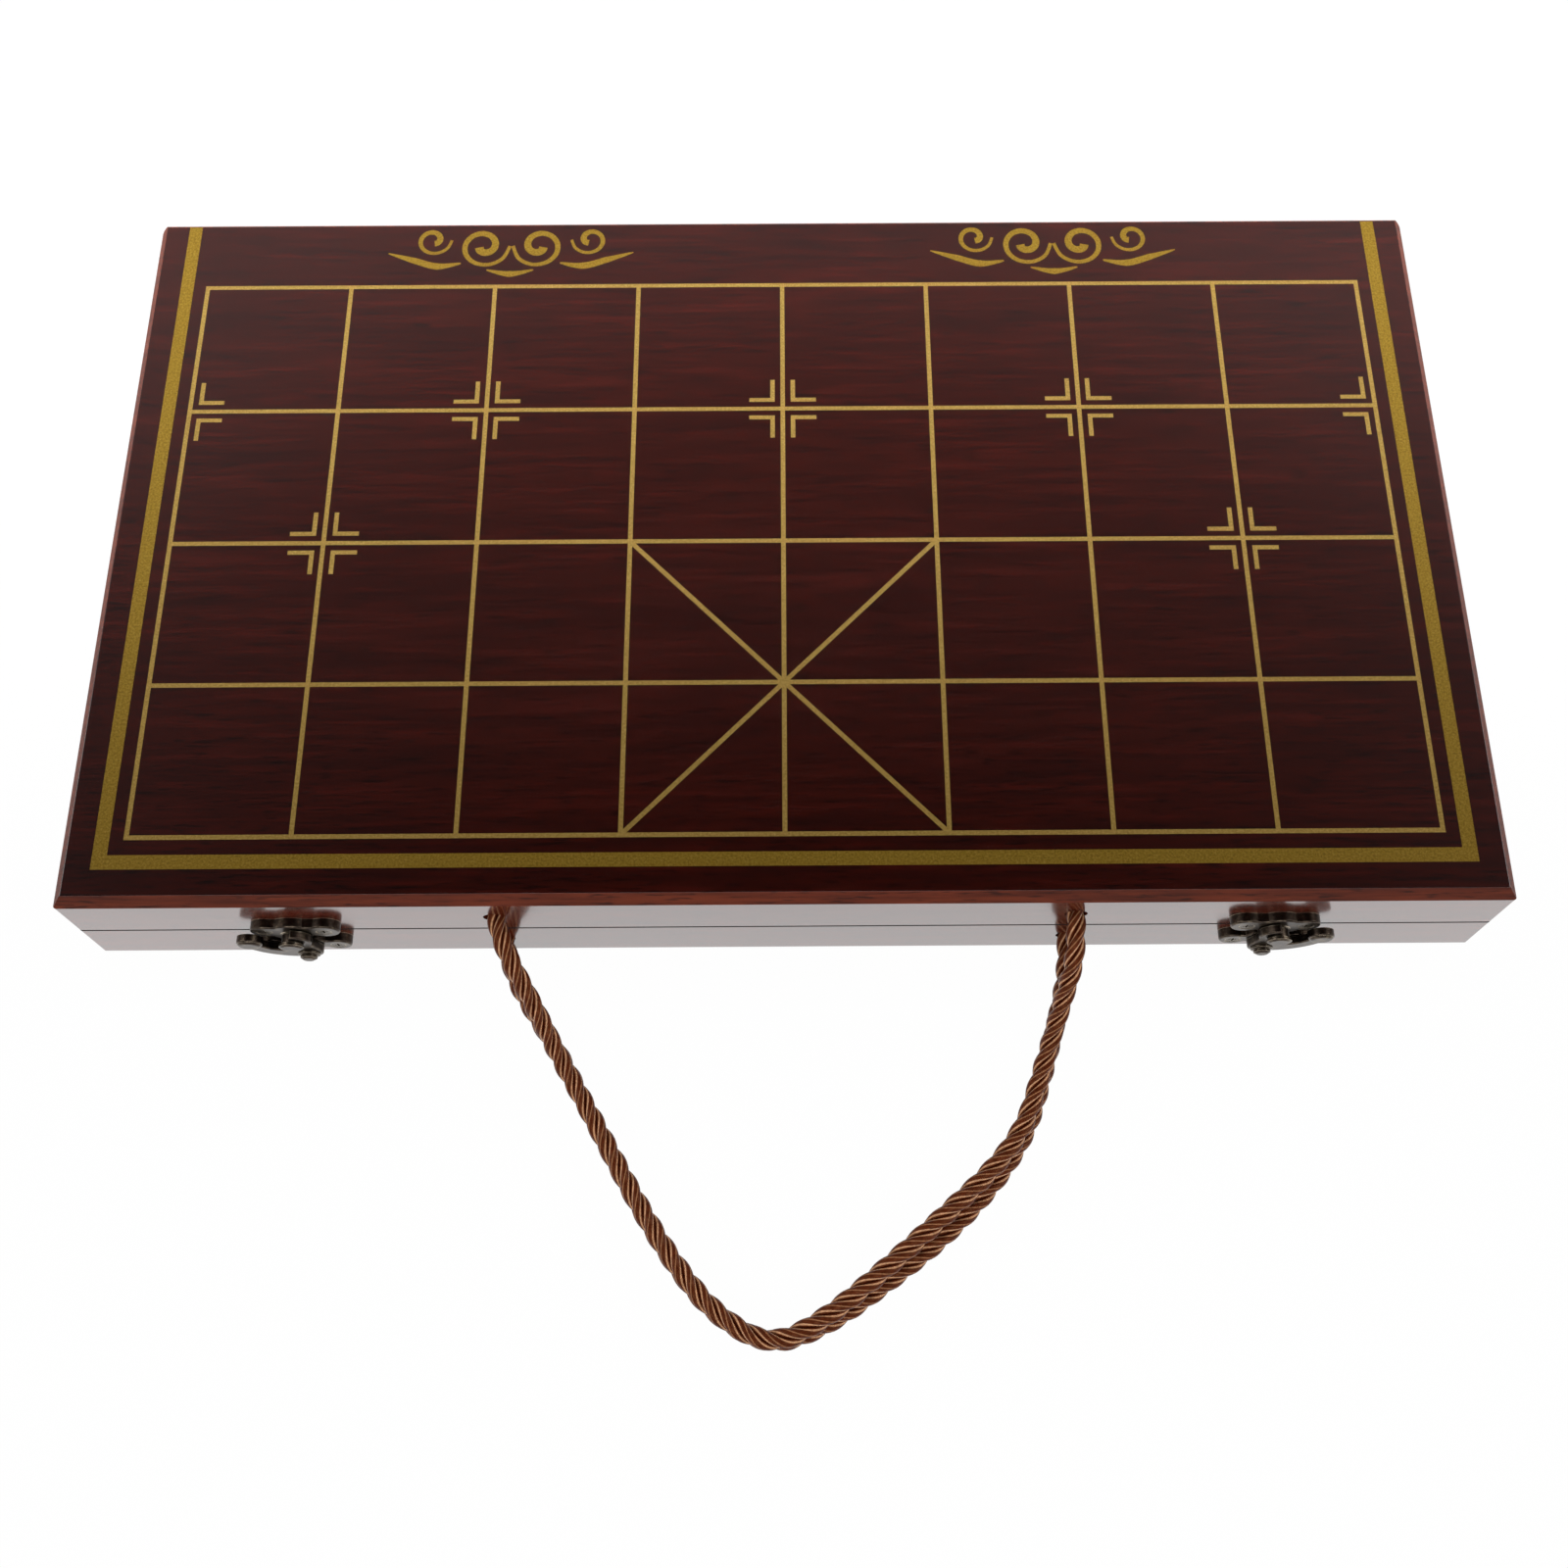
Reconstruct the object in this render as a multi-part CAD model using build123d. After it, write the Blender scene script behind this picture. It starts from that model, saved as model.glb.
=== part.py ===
from build123d import *
from math import cos, radians, sin, tan
import os

# Folding xiangqi board case, closed and lying on its base half. Millimetres, +Z up.
# The origin is the middle of the underside. The fold is at the back (+Y), the two
# latches and the rope handles are at the front (-Y). Each half's outer face is half
# of the playing board, so the case opens 180 degrees and is turned over for play.

# --- the case --------------------------------------------------------------------
case_width = 430.0
case_depth = 241.6
half_height = 27.0
panel_thickness = 5.0
rail_thickness = 9.0
rim_gap = 0.4            # between the two rims when the case is shut
chamfer_inset = 2.7      # front, left and right arris of each outer face, along the face
chamfer_height = 3.8     # the same, down the side
arris_round = 0.4        # where the chamfer meets the face
fold_round = 1.0         # arris of each outer face at the fold
corner_round = 1.0       # upright corners
rim_round = 0.4          # outer arris of each rim

# --- discs and linings -----------------------------------------------------------
disc_thickness = 16.0
disc_edge = 1.6
disc_columns = 8
disc_rows = 4
disc_clearance = 0.5     # between a disc and its foam divider
divider_thickness = 7.5
divider_height = 12.0
lining_thickness = 1.5
lining_clearance = 0.3

# --- rope handles ----------------------------------------------------------------
rope_diameter = 6.0
rope_hole_clearance = 0.4
rope_hole_x = 87.0
rope_hole_height = 15.5  # above the outer face of its own half
rope_lead = 1.0          # straight part in front of the rail
knot_diameter = 14.0
knot_length = 10.0
knot_space = 2.0         # between the rope knots and the foam

# --- hinges ----------------------------------------------------------------------
hinge_inset = 85.0       # middle of each hinge from its end of the case
hinge_length = 50.0
hinge_axis_offset = 0.15 # behind the fold faces
knuckle_diameter = 4.4
knuckle_count = 5
knuckle_end_gap = 0.15
leaf_width = 7.5
leaf_thickness = 1.0
leaf_sink = 0.1          # below the rim, so that the two leaves stay clear
pin_diameter = 2.0
pin_clearance = 0.03
mortise_clearance = 0.1
barrel_clearance = 0.3
hinge_screw_pitch = 18.0
hinge_screw_inset = 3.3  # from the front edge of the leaf
hinge_screw_length = 7.0
hinge_screw_head = 3.2
hinge_screw_shank = 1.6

# --- latches: x is measured for the left one, the right one is its mirror -----------
latch_inset = 66.4       # the catch post from its end of the case
catch_rise = 4.4         # post centre above the seam
latch_plate = 3.0        # thickness of both cast plates
plate_seam_gap = 0.6     # plate edge to the seam
catch_screw_in = 10.0    # the catch plate's screws from the post, and above the seam
catch_screw_out = 7.8
catch_screw_rise = 7.2
catch_lobe_in = 4.8      # radius of each lobe of the catch plate
catch_lobe_out = 4.4
catch_lobe_mid = 6.8
catch_lobe_rise = 5.8    # middle lobe above the seam
catch_bar_low = 4.4      # its bar, from and to above the seam
catch_bar_high = 11.2
base_screw_in = 11.3     # the base plate's screws from the post, and below the seam
base_screw_in_drop = 7.4
base_screw_out = 8.6
base_screw_out_drop = 6.6
base_lobe = 4.2          # radius of its screw lobes
pivot_lobe = 5.4         # radius of its lobe under the lever's pivot
base_bar_low = 9.6       # its bar, from and to below the seam
base_bar_high = 3.6
post_waist = 6.2
post_head = 7.4
post_length = 4.4
post_head_length = 1.5
claw_clearance = 0.35
claw_width = 2.4
claw_start = -75.0       # degrees round the post, from the side nearer mid-case
claw_end = 95.0
pivot_inward = 3.0       # lever pivot from the post, towards mid-case
pivot_drop = 10.5
lever_gap = 0.3          # behind the lever
lever_thickness = 2.4
hub_diameter = 8.6
knob_diameter = 7.8
knob_extra = 0.6
knob_reach = 18.6        # pivot to thumb knob
knob_angle = 150.0
rivet_shank = 3.4
rivet_clearance = 0.05
rivet_collar = 6.8
rivet_head = 5.2
rivet_head_length = 1.3
latch_screw_head = 4.6
latch_screw_shank = 2.2
latch_screw_length = 8.0
recess_span = 2.6        # cross recess in the screw heads
recess_slot = 0.6
recess_depth = 0.7
screw_sink = 0.1
screw_clearance = 0.05
cast_edge = 0.6          # soft front edge of the castings
cusp_round = 0.6         # between the lobes of a casting's outline
lever_edge = 0.5         # soft front edge of the lever
knob_edge = 1.2          # dome of the thumb knob

# --- worked out ------------------------------------------------------------------
seam_z = half_height
case_height = 2 * half_height
y_front = -case_depth / 2
y_fold = case_depth / 2
rim_z = seam_z - rim_gap / 2
y_inner_front = y_front + rail_thickness
inner_width = case_width - 2 * rail_thickness
inner_depth = case_depth - 2 * rail_thickness
hinge_axis_y = y_fold + hinge_axis_offset
hinge_x = case_width / 2 - hinge_inset
catch_x = latch_inset - case_width / 2
knot_room = knot_length + knot_space
tray_half_width = inner_width / 2 - lining_clearance
tray_front = y_inner_front + knot_room       # clear of the rope knots
tray_back = inner_depth / 2 - lining_clearance
disc_pitch_x = (2 * tray_half_width - divider_thickness) / disc_columns
disc_pitch_y = (tray_back - tray_front - divider_thickness) / disc_rows
disc_diameter = min(disc_pitch_x, disc_pitch_y) - divider_thickness - 2 * disc_clearance
screw_room = screw_sink + screw_clearance
margin = 5.0             # how far cutting solids run past the stock

seam_plane = Plane.XY.offset(seam_z)


def to_lid(shape):
    """A piece of the lid is the mirror of the base's piece in the seam."""
    return mirror(shape, about=seam_plane)


def to_right(shape):
    """A right-hand piece is the mirror of the left-hand one."""
    return mirror(shape, about=Plane.YZ)


def rod_x(diameter, x_from, x_to, y, z):
    """A round bar along X."""
    plane = Plane(origin=(x_from, y, z), x_dir=(0, 1, 0), z_dir=(1, 0, 0))
    return extrude(plane * Circle(diameter / 2), amount=x_to - x_from)


def rod_y(diameter, x, y_from, y_to, z):
    """A round bar along Y."""
    plane = Plane(origin=(x, y_from, z), x_dir=(1, 0, 0), z_dir=(0, 1, 0))
    return extrude(plane * Circle(diameter / 2), amount=y_to - y_from)


def block(x_from, x_to, y_from, y_to, z_from, z_to):
    """A box between two corners."""
    size = (x_to - x_from, y_to - y_from, z_to - z_from)
    centre = ((x_from + x_to) / 2, (y_from + y_to) / 2, (z_from + z_to) / 2)
    return Pos(*centre) * Box(*size)


# --- wooden case -----------------------------------------------------------------
def outer_panel():
    """Outer face of the base: half a board, chamfered on three sides, round at the fold."""
    half_w = case_width / 2
    face_end = half_w - chamfer_inset
    across = Polygon((-half_w, panel_thickness), (-half_w, chamfer_height), (-face_end, 0), (face_end, 0),
                     (half_w, chamfer_height), (half_w, panel_thickness), align=None)
    across = fillet(across.vertices().group_by(Axis.Y)[0], arris_round)
    along = Polygon((y_front, panel_thickness), (y_front, chamfer_height), (y_front + chamfer_inset, 0),
                    (y_fold, 0), (y_fold, panel_thickness), align=None)
    along = fillet(along.vertices().group_by(Axis.Y)[0].sort_by(Axis.X)[-1], fold_round)
    along = fillet(along.vertices().group_by(Axis.Y)[0].sort_by(Axis.X)[0], arris_round)
    from_fold = Plane(origin=(0, y_fold + margin, 0), x_dir=(1, 0, 0), z_dir=(0, -1, 0))
    from_left = Plane(origin=(-half_w - margin, 0, 0), x_dir=(0, 1, 0), z_dir=(1, 0, 0))
    stock = extrude(RectangleRounded(case_width, case_depth, corner_round), amount=panel_thickness)
    stock = stock & extrude(from_fold * across, amount=case_depth + 2 * margin)
    return stock & extrude(from_left * along, amount=case_width + 2 * margin)


def rail_ring():
    """The four rails of the base as one ring, before they are mitred."""
    height = rim_z - panel_thickness
    outer = RectangleRounded(case_width, case_depth, corner_round)
    ring = extrude(Pos(0, 0, panel_thickness) * outer, amount=height)
    arris = ring.faces().sort_by(Axis.Z)[-1].edges()
    ring = fillet(arris, rim_round)
    return ring - block(-inner_width / 2, inner_width / 2, -inner_depth / 2, inner_depth / 2,
                        0, case_height)


def mitre_wedge(side):
    """The 45 degree wedge that keeps one rail of the ring."""
    half_w = case_width / 2 + margin
    half_d = case_depth / 2 + margin
    inner_x = half_w - half_d
    outlines = {
        "front": [(-half_w, -half_d), (half_w, -half_d), (inner_x, 0), (-inner_x, 0)],
        "back": [(-half_w, half_d), (-inner_x, 0), (inner_x, 0), (half_w, half_d)],
        "left": [(-half_w, -half_d), (-inner_x, 0), (-half_w, half_d)],
        "right": [(half_w, -half_d), (half_w, half_d), (inner_x, 0)],
    }
    return extrude(Polygon(*outlines[side], align=None), amount=case_height)


def rope_holes():
    """The two holes through the front rail that the rope handle leaves by."""
    bore = rope_diameter + 2 * rope_hole_clearance
    hole = rod_y(bore, -rope_hole_x, y_front - margin, y_inner_front + margin, rope_hole_height)
    return [hole, to_right(hole)]


# --- hinges ----------------------------------------------------------------------
leaf_top = rim_z - leaf_sink
leaf_front_y = y_fold - leaf_width


def hinge_screw_places(x):
    return [(x + step * hinge_screw_pitch, leaf_front_y + hinge_screw_inset) for step in (-1, 0, 1)]


def countersunk(head, shank, length, grow=0.0):
    """A countersunk screw pointing down from z = 0, or the hole for it when it grows."""
    head_r = head / 2 + grow
    shank_r = shank / 2 + grow
    slope = head_r - shank_r
    profile = Polygon((0, 0), (head_r, 0), (shank_r, -slope), (shank_r, -length - grow),
                      (0, -length - grow), align=None)
    return revolve(Plane.XZ * profile, axis=Axis.Z)


def hinge_leaf(x, own_even):
    """One leaf with its share of the knuckles; the base leaf has the even ones."""
    x_from = x - hinge_length / 2
    x_to = x + hinge_length / 2
    leaf = block(x_from, x_to, leaf_front_y, hinge_axis_y, leaf_top - leaf_thickness, leaf_top)
    swing = knuckle_diameter + 2 * barrel_clearance
    leaf = leaf - rod_x(swing, x_from - margin, x_to + margin, hinge_axis_y, seam_z)
    pitch = hinge_length / knuckle_count
    for index in range(knuckle_count):
        if (index % 2 == 0) != own_even:
            continue
        start = x_from + index * pitch + (knuckle_end_gap if index else 0)
        end = x_from + (index + 1) * pitch - (knuckle_end_gap if index < knuckle_count - 1 else 0)
        web = block(start, end, y_fold - knuckle_diameter, hinge_axis_y,
                    leaf_top - leaf_thickness, leaf_top)
        leaf = leaf + rod_x(knuckle_diameter, start, end, hinge_axis_y, seam_z) + web
    bore = pin_diameter + 2 * pin_clearance
    leaf = leaf - rod_x(bore, x_from - margin, x_to + margin, hinge_axis_y, seam_z)
    sink = countersunk(hinge_screw_head, hinge_screw_shank, hinge_screw_length, screw_room)
    for place in hinge_screw_places(x):
        leaf = leaf - Pos(*place, leaf_top) * sink
    return leaf


def hinge_pockets():
    """Mortises, barrel notches and screw holes in the back rail."""
    cuts = []
    for x in (-hinge_x, hinge_x):
        x_from = x - hinge_length / 2 - mortise_clearance
        x_to = x + hinge_length / 2 + mortise_clearance
        cuts.append(block(x_from, x_to, leaf_front_y - mortise_clearance, y_fold + margin,
                          leaf_top - leaf_thickness, case_height))
        swing = knuckle_diameter + 2 * barrel_clearance
        cuts.append(rod_x(swing, x_from, x_to, hinge_axis_y, seam_z))
        for place in hinge_screw_places(x):
            hole = countersunk(hinge_screw_head, hinge_screw_shank, hinge_screw_length, screw_room)
            cuts.append(Pos(*place, leaf_top) * hole)
    return cuts


def hinge_screws():
    screw = countersunk(hinge_screw_head, hinge_screw_shank, hinge_screw_length)
    places = hinge_screw_places(-hinge_x) + hinge_screw_places(hinge_x)
    return Compound(children=[Pos(*place, leaf_top - screw_sink) * screw for place in places])


def hinge_pins():
    return Compound(children=[rod_x(pin_diameter, x - hinge_length / 2, x + hinge_length / 2,
                                    hinge_axis_y, seam_z) for x in (-hinge_x, hinge_x)])


# --- latches ---------------------------------------------------------------------
catch_z = seam_z + catch_rise
pivot_x = catch_x + pivot_inward
pivot_z = catch_z - pivot_drop
lever_back = latch_plate + lever_gap
lever_front = lever_back + lever_thickness

# lobes of each plate: x, z and radius; the screws sit in the first two
catch_lobes = [(catch_x + catch_screw_in, seam_z + catch_screw_rise, catch_lobe_in),
               (catch_x - catch_screw_out, seam_z + catch_screw_rise, catch_lobe_out),
               (catch_x, seam_z + catch_lobe_rise, catch_lobe_mid)]
base_lobes = [(catch_x + base_screw_in, seam_z - base_screw_in_drop, base_lobe),
              (catch_x - base_screw_out, seam_z - base_screw_out_drop, base_lobe),
              (pivot_x, pivot_z, pivot_lobe)]


def on_front(sketch, start, length):
    """Extrude a sketch of the front face outwards, from start to start + length."""
    return extrude(Plane(origin=(0, y_front - start, 0), x_dir=(1, 0, 0), z_dir=(0, -1, 0)) * sketch,
                   amount=length)


def soft_front(piece, radius):
    """Round the foremost edges of a casting."""
    rim = piece.edges().group_by(Axis.Y)[0]
    return fillet(rim, radius)


def latch_screw_hole(x, z):
    hole = countersunk(latch_screw_head, latch_screw_shank, latch_screw_length, screw_room)
    return Pos(x, y_front - latch_plate, z) * Rot(90, 0, 0) * hole


def latch_screw(x, z):
    """Countersunk screw with a cross recess, set just below the face of its plate."""
    screw = countersunk(latch_screw_head, latch_screw_shank, latch_screw_length)
    recess = (Box(recess_span, recess_slot, 2 * recess_depth)
              + Box(recess_slot, recess_span, 2 * recess_depth))
    place = Pos(x, y_front - latch_plate + screw_sink, z) * Rot(90, 0, 0)
    return place * (screw - recess)


def lobed_plate(lobes, z_low, z_high, keep_low, keep_high):
    """A cast plate: a bar between two screw lobes and a third lobe that carries the work."""
    (x_in, _, _), (x_out, _, _), _ = lobes
    bar = Pos((x_in + x_out) / 2, (z_low + z_high) / 2) * Rectangle(x_in - x_out, z_high - z_low)
    outline = bar
    for x, z, radius in lobes:
        outline = outline + Pos(x, z) * Circle(radius)
    width = 3 * (x_in - x_out)
    keep = Pos((x_in + x_out) / 2, (keep_low + keep_high) / 2) * Rectangle(width, keep_high - keep_low)
    outline = outline & keep
    outline = fillet(outline.vertices(), cusp_round)
    plate = soft_front(on_front(outline, 0, latch_plate), cast_edge)
    for x, z, _ in lobes[:2]:
        plate = plate - latch_screw_hole(x, z)
    return plate


def catch_plate():
    """The lid's plate, which carries the post."""
    return lobed_plate(catch_lobes, seam_z + catch_bar_low, seam_z + catch_bar_high,
                       seam_z + plate_seam_gap, case_height)


def base_plate():
    """The base's plate, which carries the lever on its rivet."""
    return lobed_plate(base_lobes, seam_z - base_bar_low, seam_z - base_bar_high,
                       0, seam_z - plate_seam_gap)


def turned(profile, x, z):
    """A turned piece standing on a latch plate: radius and distance from its face."""
    outline = Polygon((0, profile[0][1]), *profile, (0, profile[-1][1]), align=None)
    spun = revolve(Plane.XZ * outline, axis=Axis.Z)
    return Pos(x, y_front - latch_plate, z) * Rot(90, 0, 0) * spun


def catch_post():
    """The turned post that the lever's claw holds: a waist under a wider head."""
    waist = post_waist / 2
    head = post_head / 2
    head_start = post_length - post_head_length
    return turned([(head, 0), (waist, 0.3), (waist, head_start), (head, head_start + 0.3),
                   (head, post_length - 0.5), (head - 0.9, post_length)], catch_x, catch_z)


def polar(radius, angle, centre=(0.0, 0.0)):
    return (centre[0] + radius * cos(radians(angle)), centre[1] + radius * sin(radians(angle)))


def latch_lever():
    """Swing lever: hub on the rivet, claw over the post, crescent arm and thumb knob."""
    post = (catch_x, catch_z)
    pivot = (pivot_x, pivot_z)
    hub_r = hub_diameter / 2
    inner_r = post_waist / 2 + claw_clearance
    outer_r = inner_r + claw_width
    mid_angle = (claw_start + claw_end) / 2
    inner = ThreePointArc(polar(inner_r, claw_start, post), polar(inner_r, mid_angle, post),
                          polar(inner_r, claw_end, post))
    outer = ThreePointArc(polar(outer_r, claw_end - 8, post), polar(outer_r, mid_angle, post),
                          polar(outer_r, claw_start + 12, post))
    claw = make_face(Curve() + [inner, Line(inner @ 1, outer @ 0), outer, Line(outer @ 1, inner @ 0)])
    neck = Polygon(pivot, polar(hub_r, 15, pivot), polar(outer_r, -28, post),
                   polar(inner_r + 0.1, -45, post), polar(inner_r, claw_start, post),
                   polar(hub_r, 118, pivot), align=None)
    knob = polar(knob_reach, knob_angle, pivot)
    knob_r = knob_diameter / 2
    under = ThreePointArc(polar(hub_r, 255, pivot), polar(11.0, 189, pivot),
                          polar(knob_r - 0.3, knob_angle + 85, knob))
    over = ThreePointArc(polar(knob_r - 0.5, knob_angle - 180, knob), polar(10.5, 159, pivot),
                         polar(hub_r, 135, pivot))
    arm = make_face(Curve() + [under, Line(under @ 1, over @ 0), over, Line(over @ 1, under @ 0)])
    outline = claw + neck + arm + Pos(*pivot) * Circle(hub_r) + Pos(*knob) * Circle(knob_r)
    outline = fillet(outline.vertices(), cusp_round)
    lever = soft_front(on_front(outline, lever_back, lever_thickness), lever_edge)
    pad = on_front(Pos(*knob) * Circle(knob_r - 0.2), lever_back, lever_thickness + knob_extra)
    lever = lever + soft_front(pad, knob_edge)
    bore = rivet_shank + 2 * rivet_clearance
    return lever - on_front(Pos(*pivot) * Circle(bore / 2), 0, lever_front + margin)


def lever_rivet():
    """The stepped rivet that the lever turns on, with a collar and a domed head."""
    shank = rivet_shank / 2
    collar = rivet_collar / 2
    head = rivet_head / 2
    start = lever_front - latch_plate + 0.1
    top = start + 0.8 + rivet_head_length
    return turned([(shank, 0), (shank, start), (collar, start), (collar, start + 0.5),
                   (head, start + 0.8), (head, top - 0.6), (head - 1.0, top)], pivot_x, pivot_z)


# --- inside ----------------------------------------------------------------------
def disc_places(rows):
    """Middles of the foam compartments, row by row from the front."""
    places = []
    for row in rows:
        for column in range(disc_columns):
            x = (column - (disc_columns - 1) / 2) * disc_pitch_x
            y = tray_front + divider_thickness / 2 + (row + 0.5) * disc_pitch_y
            places.append((x, y))
    return places


def divider_lines():
    """Middle lines of the foam dividers: the x of those along Y, the y of those along X."""
    across = [(index - disc_columns / 2) * disc_pitch_x for index in range(disc_columns + 1)]
    along = [tray_front + divider_thickness / 2 + index * disc_pitch_y for index in range(disc_rows + 1)]
    return across, along


def divider(x_from, x_to, y_from, y_to):
    return block(x_from, x_to, y_from, y_to, panel_thickness, panel_thickness + divider_height)


def foam_dividers():
    """Long foam strips, and short ones glued between them, which part the inside."""
    across, along = divider_lines()
    half = divider_thickness / 2
    long_strips = [divider(-tray_half_width, tray_half_width, y - half, y + half) for y in along]
    short_strips = []
    for x in across:
        for y_from, y_to in zip(along, along[1:]):
            short_strips.append(divider(x - half, x + half, y_from + half, y_to - half))
    return Compound(children=long_strips), Compound(children=short_strips)


def discs(rows):
    """Plain playing discs standing on the panel in their compartments."""
    disc = Cylinder(disc_diameter / 2, disc_thickness)
    disc = chamfer(disc.edges().group_by(Axis.Z)[-1], disc_edge)
    z = panel_thickness + disc_thickness / 2
    return Compound(children=[Pos(*place, z) * disc for place in disc_places(rows)])


def lid_lining():
    """Felt sheet glued under the lid's panel."""
    half_w = inner_width / 2 - lining_clearance
    half_d = inner_depth / 2 - lining_clearance
    top = case_height - panel_thickness
    return block(-half_w, half_w, -half_d, half_d, top - lining_thickness, top)


# --- ropes -----------------------------------------------------------------------
def stopper_knots(z):
    """Stopper knots drawn up against the inside of the front rail."""
    radius = knot_diameter / 2
    seat = (radius - 1.5, 0)
    crown = (radius * 0.5, knot_length)
    side = ThreePointArc(seat, (radius, knot_length * 0.45), crown)
    outline = [Line((0, 0), seat), side, Line(crown, (0, knot_length)), Line((0, knot_length), (0, 0))]
    profile = make_face(Curve() + outline)
    knot = revolve(Plane.XZ * profile, axis=Axis.Z)
    knot = Pos(-rope_hole_x, y_inner_front, z) * Rot(-90, 0, 0) * knot
    return Compound(children=[knot, to_right(knot)])


# The lid's rope falls from its holes and lies along the base's rope, which it hides on
# the left. The base's rope shows beside it on the right and goes in under it.
lid_rope_route = [
    (-rope_hole_x, y_inner_front, case_height - rope_hole_height),
    (-rope_hole_x, y_front - rope_lead, case_height - rope_hole_height),
    (-82, -133.5, 35.5), (-75.5, -144.5, 25.5), (-69, -156.5, 13.5), (-62, -168, 9.6),
    (-53, -183.5, 9.3), (-43.5, -200, 9.3), (-33, -216, 9.3), (-21, -230, 9.3),
    (-5, -239, 9.3), (11, -231.5, 9.3), (29, -217.5, 8.9), (47, -202.5, 8.8),
    (62, -189.5, 8.8), (71.5, -177.5, 8.9), (76.5, -164, 9.6), (80.5, -152, 16),
    (84, -141, 27), (86.3, -133.5, 35),
    (rope_hole_x, y_front - rope_lead, case_height - rope_hole_height),
    (rope_hole_x, y_inner_front, case_height - rope_hole_height),
]
base_rope_route = [
    (-rope_hole_x, y_inner_front, rope_hole_height),
    (-rope_hole_x, y_front - rope_lead, rope_hole_height),
    (-83.5, -133, 12), (-77.5, -142.5, 6), (-71, -152, 3), (-62.5, -167, 3),
    (-53.5, -183, 3), (-44, -199.5, 3), (-33.5, -215.5, 3), (-21.5, -229.5, 3),
    (-5, -238.5, 3), (12, -232.5, 3), (30, -220.5, 3), (47, -208, 3),
    (62.5, -193, 3), (73, -178, 3), (78, -163.5, 3), (82, -151, 3),
    (84.8, -141, 4.5), (86.4, -132.5, 11),
    (rope_hole_x, y_front - rope_lead, rope_hole_height),
    (rope_hole_x, y_inner_front, rope_hole_height),
]


def rope(name, route):
    """A rope as straight runs joined by tangent arcs, each as large as its runs allow."""
    points = [Vector(*point) for point in route]
    runs = [after - before for before, after in zip(points, points[1:])]
    radii = []
    for before, after in zip(runs, runs[1:]):
        turn = before.get_angle(after)
        radii.append(0.45 * min(before.length, after.length) / tan(radians(turn / 2)))
    print(name, "bend radii", [round(radius) for radius in radii])
    path = FilletPolyline(*points, radius=radii)
    section = Plane(origin=path @ 0, z_dir=path % 0) * Circle(rope_diameter / 2)
    tube = sweep(section, path=path)
    expected = section.area * path.length
    print(name, "length", round(path.length, 1), "volume ratio", round(tube.volume / expected, 4))
    return tube


# --- assembly --------------------------------------------------------------------
def build():
    pieces = {}
    panel = outer_panel()
    pieces["base_panel"] = panel
    pieces["lid_panel"] = to_lid(panel)

    ring = rail_ring()
    for side in ("front", "back", "left", "right"):
        rail = ring & mitre_wedge(side)
        cuts = {"front": rope_holes(), "back": hinge_pockets()}.get(side, [])
        for cut in cuts:
            rail = rail - cut
        latch_holes = []
        if side == "front":
            latch_holes = [latch_screw_hole(x, z) for x, z, _ in base_lobes[:2]]
        base_rail = rail
        for hole in latch_holes:
            base_rail = base_rail - hole - to_right(hole)
        lid_rail = to_lid(rail)
        if side == "front":
            for x, z, _ in catch_lobes[:2]:
                hole = latch_screw_hole(x, z)
                lid_rail = lid_rail - hole - to_right(hole)
        pieces["base_" + side + "_rail"] = base_rail
        pieces["lid_" + side + "_rail"] = lid_rail

    pieces["base_hinge_leaves"] = Compound(children=[hinge_leaf(-hinge_x, True), hinge_leaf(hinge_x, True)])
    lid_leaves = [to_lid(hinge_leaf(-hinge_x, False)), to_lid(hinge_leaf(hinge_x, False))]
    pieces["lid_hinge_leaves"] = Compound(children=lid_leaves)
    pieces["hinge_pins"] = hinge_pins()
    pieces["base_hinge_screws"] = hinge_screws()
    pieces["lid_hinge_screws"] = to_lid(hinge_screws())

    castings = {"latch_catch_plate": catch_plate(), "latch_catch_post": catch_post(),
                "latch_base_plate": base_plate(), "latch_lever": latch_lever(),
                "latch_rivet": lever_rivet()}
    for name, casting in castings.items():
        pieces[name + "_left"] = casting
        pieces[name + "_right"] = to_right(casting)
    for name, lobes in (("latch_catch_screws", catch_lobes), ("latch_base_screws", base_lobes)):
        left = [latch_screw(x, z) for x, z, _ in lobes[:2]]
        pieces[name] = Compound(children=left + [to_right(screw) for screw in left])

    pieces["foam_long_dividers"], pieces["foam_short_dividers"] = foam_dividers()
    half = disc_rows // 2
    pieces["red_discs"] = discs(range(half))
    pieces["black_discs"] = discs(range(half, disc_rows))
    pieces["lid_lining"] = lid_lining()

    pieces["base_rope_knots"] = stopper_knots(rope_hole_height)
    pieces["lid_rope_knots"] = stopper_knots(case_height - rope_hole_height)
    pieces["base_rope"] = rope("base_rope", base_rope_route)
    pieces["lid_rope"] = rope("lid_rope", lid_rope_route)
    return pieces


os.makedirs("parts", exist_ok=True)
for name, piece in build().items():
    export_step(piece, "parts/" + name + ".step")
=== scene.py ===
import math

import bpy
from mathutils import Matrix, Vector


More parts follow.
